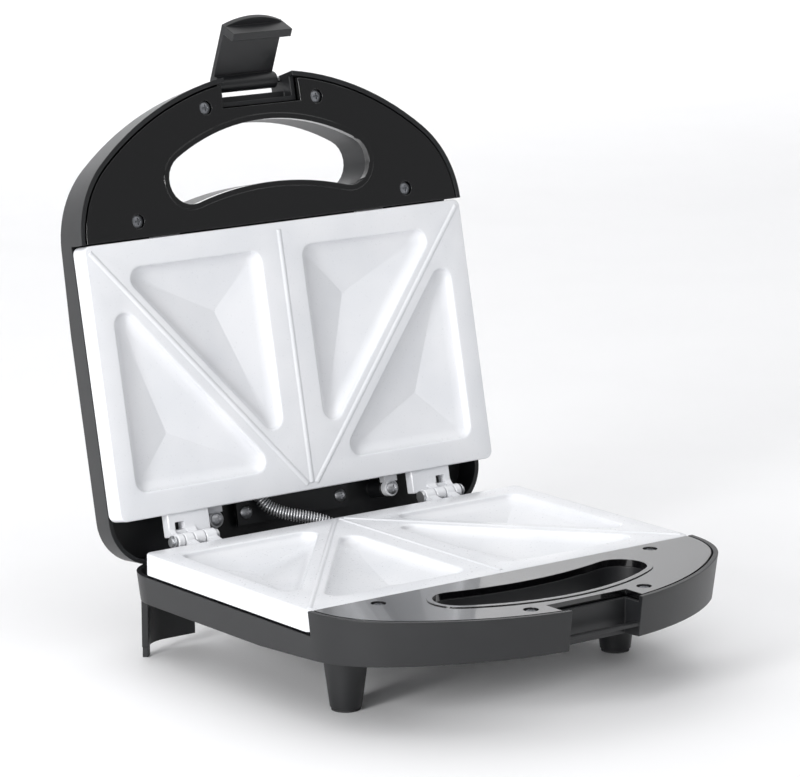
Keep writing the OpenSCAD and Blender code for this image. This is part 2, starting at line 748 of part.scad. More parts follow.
module terminal_block() {
    color("ivory") on_table() translate([24 - plate_w / 2, plate_d - 8, floor_z + seat_gap]) difference() {
        cube([24, 9, 9]);
        for (x = [4, 12, 20]) translate([x, 4.5, 2]) cylinder(h = 10, r = 1.5);
        for (x = [4, 12, 20]) translate([x, -1, 4]) rotate([-90, 0, 0]) cylinder(h = 11, r = 1.2);
    }
}

// Rubber pads under the front feet, each with a stud in the foot.
module foot_pads() {
    color([0.15, 0.15, 0.15]) on_table() for (side = [-1, 1])
        translate([side * foot_x, foot_y, -plate_height]) {
            cylinder(h = 1.5, r = foot_low_r - 0.6);
            cylinder(h = 2.9, r = 2.5);
        }
}

// Flanged bush in the rear wall, where the cord goes in.
module cord_inlet_bush() {
    // The flange ends level with the housing's rim, out of the way of the open lid
    color([0.08, 0.08, 0.08]) on_table() translate([inlet_x, rear_wall, inlet_z]) rotate([-90, 0, 0])
        difference() {
            union() {
                translate([0, 0, -9]) cylinder(h = 8.6, r = inlet_r);
                translate([0, 0, -1.6]) cylinder(h = 1.6, r = inlet_r + 1.2);
            }
            translate([0, 0, -10]) cylinder(h = 14, r = inlet_r - 1.2);
        }
}

// Ferrules that take the ends of the sprung conduit.
module lower_ferrule() {
    color("silver") on_table() translate([clamp_x, clamp_y, -21.5 + seat_gap]) difference() {
        cylinder(h = 7, r = 4.3);
        translate([0, 0, -1]) cylinder(h = 10, r = coil_r + coil_wire / 2 + 0.35);
    }
}

module upper_ferrule() {
    color("silver") as_lid() translate([upper_clamp_x, plate_d - 9.5, -15]) rotate([-90, 0, 0]) difference() {
        cylinder(h = 6.5, r = 4.3);
        translate([0, 0, -1]) cylinder(h = 10, r = coil_r + coil_wire / 2 + 0.35);
    }
}

// The conduit's line: from the lower ferrule, over the rear wall, into the upper ferrule.
function lid_point(p) = let (y = p[1] - hinge_y, z = closed_gap + hinge_low - p[2])
    [p[0], hinge_y + y * cos(open_angle) + z * sin(open_angle), -hinge_low - y * sin(open_angle) + z * cos(open_angle)];
run_a = [clamp_x, clamp_y, -16];
run_b = lid_point([upper_clamp_x, plate_d - 4.5, -15]);
lid_in = lid_point([upper_clamp_x, plate_d - 5.5, -15]) - run_b;
pull = 21;
function bend(t) = pow(1 - t, 3) * run_a + 3 * pow(1 - t, 2) * t * (run_a + pull * [0, 0, 1])
    + 3 * (1 - t) * t * t * (run_b - pull * lid_in) + pow(t, 3) * run_b;
function bend_dir(t) = let (d = 3 * pow(1 - t, 2) * pull * [0, 0, 1]
    + 6 * (1 - t) * t * (run_b - pull * lid_in - run_a - pull * [0, 0, 1]) + 3 * t * t * pull * lid_in) d / norm(d);
function unit(v) = v / norm(v);
// Length of the line, and its parameter at a given length.
bend_n = 200;
bend_pts = [for (i = [0 : bend_n]) bend(i / bend_n)];
function add_up(v, i = 0, s = 0, out = []) = i == len(v) ? concat(out, [s])
    : add_up(v, i + 1, s + v[i], concat(out, [s]));
bend_len = add_up([for (i = [0 : bend_n - 1]) norm(bend_pts[i + 1] - bend_pts[i])]);
bend_total = bend_len[bend_n];
function param_at(s) = lookup(s, [for (i = [0 : bend_n]) [bend_len[i], i / bend_n]]);
curls = floor(bend_total / coil_pitch);
coil_steps = curls * 8;
side_axis = unit([1, 0.4, 0]);
function coil_point(s, a) = let (t = param_at(s), d = bend_dir(t), u = unit(cross(d, side_axis)), v = cross(d, u))
    bend(t) + coil_r * (cos(a) * u + sin(a) * v);
coil_mid = [for (i = [0 : coil_steps]) coil_point(bend_total * i / coil_steps, 45 * i)];
coil_first = coil_mid[0] + coil_wire * unit(coil_mid[0] - coil_mid[1]);
coil_last = coil_mid[coil_steps] + coil_wire * unit(coil_mid[coil_steps] - coil_mid[coil_steps - 1]);
coil_line = concat([coil_first], coil_mid, [coil_last]);
// Least gap between one curl and the next, measured on the points of the line
coil_gap = min([for (i = [0 : coil_steps - 6], j = [5 : 11]) if (i + j <= coil_steps)
    norm(coil_mid[i + j] - coil_mid[i])]) - coil_wire;
echo(curls = curls, conduit_length = bend_total, least_gap_between_curls = coil_gap);

// Round tube along a line of points.
module tube_along(line, r, sides = 6) {
    n = len(line);
    dirs = [for (i = [0 : n - 1]) unit(line[min(i + 1, n - 1)] - line[max(i - 1, 0)])];
    mid = [for (i = [0 : n - 1]) let (s = bend(param_at(bend_total * min(max((i - 1) / coil_steps, 0), 1))))
        unit(line[i] - s)];
    points = [for (i = [0 : n - 1]) let (w = cross(dirs[i], mid[i]), u = unit(cross(unit(w), dirs[i])), v = unit(w))
        for (k = [0 : sides - 1]) let (a = 360 * k / sides) line[i] + r * (cos(a) * u + sin(a) * v)];
    walls = [for (i = [0 : n - 2], k = [0 : sides - 1])
        let (a = i * sides + k, b = i * sides + (k + 1) % sides)
        each [[a, a + sides, b], [b, a + sides, b + sides]]];
    ends = [[for (k = [0 : sides - 1]) k], [for (k = [sides - 1 : -1 : 0]) (n - 1) * sides + k]];
    polyhedron(points = points, faces = concat(walls, ends));
}

module conduit_spring() {
    color("silver") on_table() tube_along(coil_line, coil_wire / 2);
}

// Hinge pin with a head at its inner end and a groove for its clip.
module hinge_pin(side) {
    length = knuckle_steps[7] + 3;
    on_table() translate([side * (knuckle_x - 0.2), hinge_y, -hinge_low]) rotate([0, side * 90, 0]) {
        difference() {
            cylinder(h = length, r = hinge_pin_r);
            translate([0, 0, length - 2]) difference() {
                cylinder(h = 0.9, r = hinge_pin_r + 1);
                translate([0, 0, -1]) cylinder(h = 3, r = hinge_pin_r - 0.5);
            }
        }
        translate([0, 0, -1.4]) cylinder(h = 1.4, r = hinge_pin_r + 1);
    }
}

module hinge_pin_left() {
    color("silver") hinge_pin(-1);
}

module hinge_pin_right() {
    color("silver") hinge_pin(1);
}

module hinge_pin_clips() {
    x = knuckle_x - 0.2 + knuckle_steps[7] + 3 - 2 + 0.1;
    color("gray") on_table() for (side = [-1, 1]) translate([side * x, hinge_y, -hinge_low])
        rotate([0, side * 90, 0]) difference() {
            cylinder(h = 0.7, r = hinge_pin_r + 1.2);
            translate([0, 0, -1]) cylinder(h = 3, r = hinge_pin_r - 0.5 + fit_gap);
            translate([0, -0.8, -1]) cube([5, 1.6, 3]);
        }
}

module lamp_place(x) {
    translate([x, 70, -housing_depth]) children();
}

module lid_housing() {
    color([0.05, 0.05, 0.055]) as_lid() difference() {
        union() {
            half_housing();
            translate([upper_clamp_x - 4, plate_d - 8, floor_z - 0.5])
                cube([8, 5, 0.5 - floor_z - 15 - 4.3 - seat_gap]);
            // Ledge behind the latch's barrel
            translate([-notch_half - 1, -notch_y - ledge_d, -handle_depth + 0.6])
                cube([2 * notch_half + 2, ledge_d + 1, handle_depth - 9.6]);
        }
        for (x = [-9, 9]) lamp_place(x) translate([0, 0, -1]) cylinder(h = wall + 2, r = 3.5 + fit_gap);
        pivot_bore(latch_pin_r + fit_gap);
    }
}

module lamp() {
    translate([0, 0, -0.6]) cylinder(h = 0.6, r = 4.4);
    translate([0, 0, -0.1]) cylinder(h = wall + 0.6, r = 3.5);
}

module power_lamp() {
    color("red") as_lid() lamp_place(-9) lamp();
}

module ready_lamp() {
    color("green") as_lid() lamp_place(9) lamp();
}

module pivot_bore(r) {
    translate([-notch_half - wall - 1, -pivot_y, -pivot_out]) rotate([0, 90, 0])
        cylinder(h = 2 * (notch_half + wall + 1), r = r);
}

module latch_pin() {
    length = 2 * (notch_half + wall) - 0.4;
    color("silver") as_lid() translate([-length / 2, -pivot_y, -pivot_out]) rotate([0, 90, 0])
        cylinder(h = length, r = latch_pin_r);
}

// Latch in its closed place: its plate hangs from the barrel and its lip turns in under the catch.
module latch_shape() {
    plate_end = latch_reach + lip_t;
    difference() {
        union() {
            translate([-latch_w / 2, 0, 0]) rotate([0, 90, 0]) cylinder(h = latch_w, r = 4);
            translate([-latch_w / 2, -latch_inner - latch_t, 0]) cube([latch_w, latch_t, plate_end]);
            translate([-latch_w / 2, -latch_inner - latch_t, latch_reach])
                cube([latch_w, latch_t + 8, lip_t]);
            intersection() {
                translate([0, 0, plate_end + latch_dome - 40]) rotate([90, 0, 0])
                    cylinder(h = latch_inner + latch_t, r = 40, $fn = 160);
                translate([-latch_w / 2, -latch_inner - latch_t, plate_end - 1]) cube([latch_w, latch_t, 8]);
            }
        }
        translate([-latch_w, 0, 0]) rotate([0, 90, 0]) cylinder(h = 2 * latch_w, r = latch_pin_r + run_gap);
    }
}

module latch() {
    color([0.07, 0.07, 0.075]) as_lid() translate([0, -pivot_y, -pivot_out])
        rotate([latch_rest, 0, 0]) latch_shape();
}

base_housing();
base_handle_cover();
base_cover_screws();
lower_plate();
lower_plate_screws();
lower_heater();
lower_heater_clips();
lower_reflector();
lower_bracket();
lower_bracket_screws();
thermostat();
thermal_fuse();
terminal_block();
foot_pads();
cord_inlet_bush();
lower_ferrule();
conduit_spring();
hinge_pin_left();
hinge_pin_right();
hinge_pin_clips();
lid_housing();
lid_handle_cover();
lid_cover_screws();
upper_plate();
upper_plate_screws();
upper_heater();
upper_heater_clips();
upper_reflector();
upper_bracket();
upper_bracket_screws();
upper_ferrule();
power_lamp();
ready_lamp();
latch_pin();
latch();
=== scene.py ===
"""Dresses the packed sandwich toaster: moulded housings, coated plates, sprung conduit and stage."""

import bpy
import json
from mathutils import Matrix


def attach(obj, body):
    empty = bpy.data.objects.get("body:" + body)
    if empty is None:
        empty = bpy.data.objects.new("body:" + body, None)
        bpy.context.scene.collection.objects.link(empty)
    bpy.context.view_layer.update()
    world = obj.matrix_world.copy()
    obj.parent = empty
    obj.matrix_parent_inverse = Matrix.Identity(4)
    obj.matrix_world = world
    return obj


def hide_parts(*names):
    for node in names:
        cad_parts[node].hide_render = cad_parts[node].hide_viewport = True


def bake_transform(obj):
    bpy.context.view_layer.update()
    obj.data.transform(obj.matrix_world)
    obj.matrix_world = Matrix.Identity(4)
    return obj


bl_info = {
    "name": "Sandwich toaster",
    "version": (1, 0, 0),
    "blender": (4, 5, 0),
    "location": "3D View > Sidebar > Toaster",
    "description": "Builds the looks of a hinged two-sandwich toaster round its packed frame",
    "category": "Object",
}

import json
import math
from collections import namedtuple

import bmesh
import bpy
from mathutils import Matrix, Vector

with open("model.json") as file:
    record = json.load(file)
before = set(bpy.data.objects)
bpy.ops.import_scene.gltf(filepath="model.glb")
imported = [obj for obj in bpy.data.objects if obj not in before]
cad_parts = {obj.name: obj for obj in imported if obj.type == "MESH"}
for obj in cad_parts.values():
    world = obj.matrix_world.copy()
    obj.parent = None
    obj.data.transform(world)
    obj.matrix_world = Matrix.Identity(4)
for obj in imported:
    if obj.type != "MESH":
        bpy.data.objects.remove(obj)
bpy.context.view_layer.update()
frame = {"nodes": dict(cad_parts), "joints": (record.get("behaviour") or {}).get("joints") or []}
NODES = frame["nodes"]
MM = 0.001

# The lid in the frame: the hinge line, the turn that opens the closed lid to rest, and the gap that is
# left between the cooking surfaces when it is closed
HINGE = Vector(next(joint["pos_m"] for joint in frame["joints"] if joint["name"] == "lid_hinge"))
OPEN_ANGLE = math.radians(102.2)
CLOSED_GAP = 1.2 * MM
# Front edge and cooking surface of the lower plate in the frame
PLATE_FRONT = -67.99 * MM
PLATE_TOP = 53.7 * MM


def srgb(text):
    """Linear colour from an sRGB hex value."""
    parts = [int(text[i:i + 2], 16) / 255 for i in (1, 3, 5)]
    return [c / 12.92 if c <= 0.04045 else ((c + 0.055) / 1.055) ** 2.4 for c in parts]


def colour(name, text, note):
    return bpy.props.FloatVectorProperty(
        name=name, description=note, subtype="COLOR", size=3, min=0, max=1, default=srgb(text))


def length(name, value_mm, note):
    return bpy.props.FloatProperty(
        name=name, description=note, unit="LENGTH", min=0, default=value_mm * MM)


class ToasterSizes(bpy.types.PropertyGroup):
    """Sizes that the looks depend on"""
    edge_round: length("Moulded edge", 0.6, "Rounding that the eye sees on moulded plastic edges")
    metal_round: length("Metal edge", 0.2, "Rounding on pressed and turned metal edges")
    rim_round: length("Pocket rim", 1.6, "Rounding where a pocket's wall meets the flat of the plate")
    wire: length("Conduit wire", 0.6, "Diameter of the conduit's spring wire")
    coil: length("Conduit radius", 2.9, "Radius of the conduit's coil to the middle of the wire")


class ToasterColours(bpy.types.PropertyGroup):
    """Main colours of the toaster"""
    housing: colour("Housing", "#141517", "Satin black moulded housings")
    deck: colour("Deck", "#050506", "Gloss black handle covers")
    plate: colour("Plate", "#E2E3E6", "Coating of the cooking plates")
    plate_low: colour("Plate shade", "#D8DADE", "Coating where it lies thinner, on edges and ribs")
    steel: colour("Bright steel", "#CDCED1", "Plated screws, pins and ferrules")
    dark_steel: colour("Dark screws", "#75777B", "Darkened cover screws")


def sizes():
    return bpy.context.scene.toaster_sizes


def colours():
    return bpy.context.scene.toaster_colours


# ---------------------------------------------------------------- materials

def add_node(tree, kind, settings=None, links=None, **facts):
    """Adds a node, sets its facts and input values, and joins its inputs to the given outputs."""
    made = tree.nodes.new(kind)
    for key, value in facts.items():
        setattr(made, key, value)
    for key, value in (settings or {}).items():
        made.inputs[key].default_value = value
    for key, output in (links or {}).items():
        tree.links.new(output, made.inputs[key])
    return made


def grain_place(tree, stretch):
    """Object coordinates in millimetres, stretched along the grain."""
    place = add_node(tree, "ShaderNodeTexCoord")
    scaled = add_node(tree, "ShaderNodeMapping", {"Scale": [1 / MM * s for s in stretch]},
                      {"Vector": place.outputs["Object"]})
    return scaled.outputs["Vector"]


# Colour patches are this many times as long as the grain
DRIFT_LENGTH = 28
DRIFT_DETAIL = 2.0
GRAIN_DETAIL = 3.0
GRAIN_ROUGHNESS = 0.55
BEVEL_SAMPLES = 4


def finish(name, shade_values, base, tint, grain_mm, rough, bump, bump_mm,
           stretch=(1, 1, 1), tint_range=(0.4, 0.7), edge=0.0):
    """A surface with its own grain: colour drifts to tint, roughness within rough, and a fine bump."""
    made = bpy.data.materials.new(name)
    made.use_nodes = True
    tree = made.node_tree
    tree.nodes.clear()
    out = add_node(tree, "ShaderNodeOutputMaterial")
    shader = add_node(tree, "ShaderNodeBsdfPrincipled", shade_values)
    tree.links.new(shader.outputs["BSDF"], out.inputs["Surface"])
    place = grain_place(tree, stretch)
    grain = add_node(tree, "ShaderNodeTexNoise",
                     {"Scale": 1 / grain_mm, "Detail": GRAIN_DETAIL, "Roughness": GRAIN_ROUGHNESS},
                     {"Vector": place})
    drift = add_node(tree, "ShaderNodeTexNoise",
                     {"Scale": 1 / (DRIFT_LENGTH * grain_mm), "Detail": DRIFT_DETAIL}, {"Vector": place})
    blend = add_node(tree, "ShaderNodeValToRGB", links={"Fac": drift.outputs["Fac"]})
    for stop, position, value in zip(blend.color_ramp.elements, tint_range, (base, tint)):
        stop.position = position
        stop.color = [*value, 1]
    tree.links.new(blend.outputs["Color"], shader.inputs["Base Color"])
    spread = add_node(tree, "ShaderNodeMapRange", {"To Min": rough[0], "To Max": rough[1]},
                      {"Value": grain.outputs["Fac"]})
    tree.links.new(spread.outputs["Result"], shader.inputs["Roughness"])
    raised = add_node(tree, "ShaderNodeBump", {"Strength": bump, "Distance": bump_mm * MM},
                      {"Height": grain.outputs["Fac"]})
    if edge > 0:
        rounded = add_node(tree, "ShaderNodeBevel", {"Radius": edge}, samples=BEVEL_SAMPLES)
        tree.links.new(rounded.outputs["Normal"], raised.inputs["Normal"])
    tree.links.new(raised.outputs["Normal"], shader.inputs["Normal"])
    return made


def shade(value, factor):
    """A colour made lighter or darker."""
    return [min(1, c * factor) for c in value]


def make_materials():
    """All finishes, by the names that the operators ask for."""
    c = colours()
    s = sizes()
    soft_edge = 0.3 * MM
    metal = {"Metallic": 1.0, "Specular IOR Level": 0.5}
    looks = {
        # Spark-eroded ABS: a soft broad sheen over black. The grain is drawn near 0.5 mm, coarser than
        # the real one, which is too fine to show
        "satin_moulded_abs": dict(
            shade_values={"IOR": 1.53}, base=c.housing, tint=shade(c.housing, 1.25), grain_mm=0.5,
            rough=(0.36, 0.46), bump=0.25, bump_mm=0.03, edge=s.edge_round),
        # Polished ABS: near-black with clear reflections and a faint flow ripple of 6 mm
        "polished_moulded_abs": dict(
            shade_values={"IOR": 1.53, "Coat Weight": 0.6, "Coat Roughness": 0.04},
            base=c.deck, tint=shade(c.deck, 1.3), grain_mm=6.0,
            rough=(0.07, 0.11), bump=0.03, bump_mm=0.04, edge=s.edge_round),
        # Sprayed ceramic non-stick on die-cast aluminium: pale, softly glossy, orange peel near 1.2 mm
        "sprayed_ceramic_coating": dict(
            shade_values={"IOR": 1.5, "Coat Weight": 0.3, "Coat Roughness": 0.14},
            base=c.plate, tint=c.plate_low, tint_range=(0.35, 0.8), grain_mm=1.2,
            rough=(0.24, 0.34), bump=0.05, bump_mm=0.03, edge=0.5 * MM),
        # Nickel plate on pan screws: softly bright with fine turning marks
        "nickel_plated_steel": dict(
            shade_values=metal, base=c.steel, tint=shade(c.steel, 0.85), grain_mm=0.35,
            rough=(0.3, 0.42), bump=0.1, bump_mm=0.01, edge=s.metal_round),
        # Black oxide on cover screws: mid grey heads with a dull oily sheen
        "black_oxide_steel": dict(
            shade_values={"Metallic": 0.85}, base=c.dark_steel, tint=shade(c.dark_steel, 1.6),
            grain_mm=0.3, rough=(0.36, 0.5), bump=0.1, bump_mm=0.01, edge=s.metal_round),
        # Drawn spring steel wire: clean and bright along the wire
        "drawn_spring_steel": dict(
            shade_values=metal, base=srgb("#F2F2F3"), tint=srgb("#E2E3E5"), grain_mm=0.4,
            rough=(0.38, 0.5), bump=0.05, bump_mm=0.01),
        # Zinc plated mild steel: pale with a slight mottle
        "zinc_plated_steel": dict(
            shade_values=metal, base=srgb("#D9DADC"), tint=srgb("#C4C6C9"), grain_mm=0.8,
            rough=(0.38, 0.5), bump=0.08, bump_mm=0.01, edge=s.metal_round),
        # Heat tinted sheath of the element: straw to blue-grey patches about 17 mm long
        "heat_tinted_sheath": dict(
            shade_values={"Metallic": 0.9}, base=srgb("#6E6458"), tint=srgb("#4C5058"), grain_mm=0.6,
            rough=(0.4, 0.6), bump=0.1, bump_mm=0.02),
        # Rolled bright aluminium sheet: streaks along its length
        "rolled_aluminium": dict(
            shade_values=metal, base=srgb("#D6D8DA"), tint=srgb("#C2C4C8"),
            grain_mm=0.5, stretch=(0.04, 1, 1), rough=(0.15, 0.3), bump=0.1, bump_mm=0.01),
        # Stoved black enamel on pressed steel: dark, with a little texture
        "stoved_black_enamel": dict(
            shade_values={"IOR": 1.5}, base=srgb("#17181A"), tint=srgb("#1E1F22"), grain_mm=0.8,
            rough=(0.3, 0.42), bump=0.15, bump_mm=0.02, edge=s.metal_round),
        # Vulcanised rubber: flat black with a fine bloom
        "moulded_rubber": dict(
            shade_values={"IOR": 1.52}, base=srgb("#1B1B1C"), tint=srgb("#262628"), grain_mm=0.5,
            rough=(0.7, 0.85), bump=0.3, bump_mm=0.03, edge=soft_edge),
        # Glazed steatite: off-white with a low gloss
        "glazed_steatite": dict(
            shade_values={"IOR": 1.55}, base=srgb("#EDEAE2"), tint=srgb("#DFDBD0"), grain_mm=0.7,
            rough=(0.2, 0.35), bump=0.1, bump_mm=0.02),
        # Ivory nylon of the terminal block: waxy, with a little light inside
        "ivory_nylon": dict(
            shade_values={"IOR": 1.53, "Subsurface Weight": 0.1, "Subsurface Scale": 0.5 * MM},
            base=srgb("#E6DEC4"), tint=srgb("#DAD0B4"), grain_mm=0.6,
            rough=(0.4, 0.55), bump=0.1, bump_mm=0.02, edge=soft_edge),
        # Tinted polycarbonate lenses of the lamps: glossy and slightly clear
        "red_polycarbonate": dict(
            shade_values={"IOR": 1.58, "Transmission Weight": 0.25},
            base=srgb("#B3161A"), tint=srgb("#8E0F14"), grain_mm=1.5,
            rough=(0.08, 0.16), bump=0.2, bump_mm=0.05, edge=soft_edge),
        "green_polycarbonate": dict(
            shade_values={"IOR": 1.58, "Transmission Weight": 0.25},
            base=srgb("#1F9A4B"), tint=srgb("#157A39"), grain_mm=1.5,
            rough=(0.08, 0.16), bump=0.2, bump_mm=0.05, edge=soft_edge),
        # Braided glass-fibre sleeve on the leads: grey braid about 0.9 mm a strand
        "braided_glass_sleeve": dict(
            shade_values={"IOR": 1.5}, base=srgb("#8D8F93"), tint=srgb("#6A6C70"), grain_mm=0.9,
            rough=(0.6, 0.8), bump=0.6, bump_mm=0.15),
        # Matt paper roll of the studio: pale and even
        "studio_floor": dict(
            shade_values={"IOR": 1.45}, base=srgb("#F6F6F7"), tint=srgb("#F5F5F6"), grain_mm=3.0,
            rough=(0.6, 0.75), bump=0.02, bump_mm=0.05),
    }
    return {name: finish(name, **look) for name, look in looks.items()}


# Filled by main() before any piece is made
MADE = {}


def dress(node, material):
    """Gives a carried-over CAD node its finish."""
    mesh = NODES[node].data
    mesh.materials.clear()
    mesh.materials.append(MADE[material])


# ---------------------------------------------------------------- mesh helpers

# Edges that turn by more than this, in degrees, are drawn sharp
MOULD_SHARP = 26
STAGE_SHARP = 32
PLATE_SHARP = 34
TUBE_SHARP = 50
SLOPE_SHARP = 2.5
# The facets of a CAD mesh are welded within this distance, and merged where they turn by less than
# this many degrees
WELD = 0.002 * MM
SAME_PLANE = 0.2


def settle(name, bm, material, sharp_deg, slopes=None):
    """Turns a bmesh into a smooth object with sharp edges; faces that slopes marks keep their creases."""
    bmesh.ops.recalc_face_normals(bm, faces=bm.faces)
    for face in bm.faces:
        face.smooth = True
    for edge in bm.edges:
        if len(edge.link_faces) == 2:
            between_slopes = slopes is not None and all(face[slopes] for face in edge.link_faces)
            limit = SLOPE_SHARP if between_slopes else sharp_deg
            edge.smooth = edge.calc_face_angle(0) < math.radians(limit)
    mesh = bpy.data.meshes.new(name)
    bm.to_mesh(mesh)
    bm.free()
    mesh.materials.append(MADE[material])
    made = bpy.data.objects.new(name, mesh)
    bpy.context.scene.collection.objects.link(made)
    return made


def moulded_copy(node, name, body, material):
    """The node's own form with its facets welded and shaded as the one smooth surface of a mould."""
    bm = bmesh.new()
    bm.from_mesh(NODES[node].data)
    bmesh.ops.remove_doubles(bm, verts=bm.verts, dist=WELD)
    bmesh.ops.dissolve_limit(bm, angle_limit=math.radians(SAME_PLANE), verts=bm.verts, edges=bm.edges)
    made = settle(name, bm, material, MOULD_SHARP)
    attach(made, body)
    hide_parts(node)
    return made


def loop_of(bm, points, place, z):
    """A ring of vertices over flat points, at one height."""
    return [bm.verts.new(place(p[0], p[1], z)) for p in points]


def join_loops(bm, a, b):
    """Faces between two rings of as many vertices."""
    n = len(a)
    return [bm.faces.new((a[j], a[(j + 1) % n], b[(j + 1) % n], b[j])) for j in range(n)]


def join_round(bm, loops):
    """Joins each ring to the next, and the last one to the first."""
    for a, b in zip(loops, loops[1:] + loops[:1]):
        join_loops(bm, a, b)


def prism(bm, first, last):
    """A closed body between two outlines of points."""
    a, b = ([bm.verts.new(point) for point in outline] for outline in (first, last))
    join_loops(bm, a, b)
    bm.faces.new(a)
    bm.faces.new(b)


def bored_round(bm, point, section, steps):
    """A bored round body. The section gives each circle's place along the axis and its radius."""
    circle = [2 * math.pi * i / steps for i in range(steps)]
    join_round(bm, [[bm.verts.new(point(w, r * math.cos(a), r * math.sin(a))) for a in circle]
                    for w, r in section])


def fill_between(bm, rings):
    """Flat faces between an outline and the rings that lie inside it."""
    pairs = [(ring[j], ring[(j + 1) % len(ring)]) for ring in rings for j in range(len(ring))]
    edges = [bm.edges.get(pair) or bm.edges.new(pair) for pair in pairs]
    bmesh.ops.triangle_fill(bm, edges=edges, use_beauty=True)


def half_to_base(x, y, z):
    """A point in millimetres, seen from the cooking side of a half, placed as the base."""
    return Vector((x * MM, y * MM + PLATE_FRONT, z * MM + PLATE_TOP))


def half_to_lid(x, y, z):
    """The same point placed as the open lid: turned over, then swung round the hinge line."""
    p = Vector((x * MM, y * MM + PLATE_FRONT, PLATE_TOP + CLOSED_GAP - z * MM))
    turn = Matrix.Rotation(-OPEN_ANGLE, 3, "X")
    return HINGE + turn @ (p - HINGE)


# ---------------------------------------------------------------- cooking plates

# Sizes in millimetres. In a half, x goes to the side, y back from the plate's front edge, and z up from
# its cooking surface. What is given for one side is mirrored to the other.
PLATE_W = 220.0
PLATE_D = 129.0
PLATE_T = 10.0
PLATE_WALL = 3.2
PLATE_FRONT_R = 3.5
PLATE_REAR_R = 4.0
PLATE_EDGE_R = 0.7
WEB_DEPTH = 4.2
CORNER_STEPS = 8
EDGE_STEPS = 4

# Borders of the pockets: to the plate's sides, to its ends, to its middle line, and square to the
# slanting rib from either side
POCKET_SIDE = 11
POCKET_END = 12
POCKET_MIDDLE = 12
OUTER_RIB_GAP = 6
INNER_RIB_GAP = 4.5
POCKET_DEPTH = 8.0
POCKET_WALL_DEPTH = 5.0
POCKET_WALL_W = 8.0
POCKET_R = 6.0
POCKET_STEPS = 12
# The rim's rounding, as shares of its size: how far it reaches out, how wide it is and how far it drops
RIM_OUT, RIM_SPAN, RIM_DROP = 0.62, 0.85, 0.5
RIM_STEPS = 4
# The curved wall starts at one angle and turns by the next, in degrees, and leaves out rings that lie
# closer to the last one than these steps
WALL_START, WALL_TURN, WALL_STEPS = 16, 59, 12
LEAST_IN, LEAST_DOWN = 0.05, 0.02
LEAST_R = 0.3
# The slopes go down in two rings, to a small triangle of this inner radius with corners of this radius
SLOPE_RINGS = (0.5, 1.0)
TIP, TIP_R = 0.6, 0.25
# Inset, corner radius and height of a pocket's underside, from the web down
BOSS_RINGS = ((-1.6, 7.6, -WEB_DEPTH), (-1.6, 7.6, -9.6), (-0.8, 6.8, -10.4))

RIB_W = 2.4
RIB_H = 0.45
RIB_END = 4
# Half of the rib's section, as shares of its width and height, from the middle to the foot
RIB_SECTION = ((0.2, 0.93), (0.36, 0.55), (0.5, 0.0))
RIB_SUNK = 0.2

# Screw tabs on the rear wall, each on an arm that reaches into the wall
TAB_X, TAB_Y, TAB_R, TAB_HOLE_R, TAB_STEPS = 52.0, PLATE_D + 6.6, 4.0, 1.7, 32
TAB_LOW, TAB_TOP, TAB_CHAMFER = -12.0, -8.0, 0.3
TAB_ARM_W, TAB_ARM_INSET, TAB_ARM_Y = 7.8, 0.1, (PLATE_D - 2.0, TAB_Y - 3.2)
# Tongues on the front wall
TONGUE_X, TONGUE_W, TONGUE_Y, TONGUE_Z = 60.0, 16, (-4.2, 3.0), (-9, -6.4)

# The hinge line, the first knuckle's place, and the knuckles' barrels
HINGE_Y = 141.8
KNUCKLE_X = 62.0
BARREL_R, BARREL_CHAMFER, BARREL_STEPS = 3.6, 0.35, 28
# The arm is narrower than its barrel at each end, and has its heel below the hinge line
ARM_INSET = 0.3
ARM_HEEL = (-2.5, -2.5)
NECK_STEPS = 6
# The upper hinge block; its x and the window's are counted from the first knuckle
BLOCK_X, BLOCK_Y, BLOCK_LOW, BLOCK_TOP = (-2, 21.4), (PLATE_D - 0.5, HINGE_Y - 1.8), -6.8, -1.6
BLOCK_CHAMFER, BLOCK_R, BLOCK_EDGE_R, BLOCK_CORNER_STEPS = 0.4, 0.7, 0.5, 3
WINDOW_X, WINDOW_Y, WINDOW_R = (12.6, 17.8), (PLATE_D + 4.1, PLATE_D + 7.9), 0.3

# How a plate is placed and hinged. Knuckles are spans along x from the first one, the arm's tip is
# counted from the hinge line, and only the upper plate has a block that carries its knuckles.
Half = namedtuple("Half", "place axis_z bore knuckles arm_y arm_low arm_top arm_tip block")
LOWER = Half(place=half_to_base, axis_z=-1.5, bore=2.02, knuckles=((0, 6), (12.6, 17.6)),
             arm_y=PLATE_D - 0.5, arm_low=-6, arm_top=-3, arm_tip=(-3.3, 0.8), block=False)
UPPER = Half(place=half_to_lid, axis_z=2.7, bore=2.06, knuckles=((6.4, 12.2), (18, 21.6)),
             arm_y=PLATE_D + 5.5, arm_low=-7, arm_top=-1.9, arm_tip=(-1.6, 2.9), block=True)


def pocket_triangles():
    """Corners of the outer and inner pockets of the right half, from the plate's borders."""
    slope = PLATE_D / (PLATE_W / 2)
    tilt = math.cos(math.atan(slope))
    outer_x, outer_y = PLATE_W / 2 - POCKET_SIDE, PLATE_D - POCKET_END
    outer = ((outer_x, outer_y), ((PLATE_D - outer_y + OUTER_RIB_GAP / tilt) / slope, outer_y),
             (outer_x, PLATE_D - slope * outer_x + OUTER_RIB_GAP / tilt))
    inner = ((POCKET_MIDDLE, POCKET_END),
             ((PLATE_D - POCKET_END - INNER_RIB_GAP / tilt) / slope, POCKET_END),
             (POCKET_MIDDLE, PLATE_D - slope * POCKET_MIDDLE - INNER_RIB_GAP / tilt))
    return [[Vector(p) for p in corners] for corners in (outer, inner)]


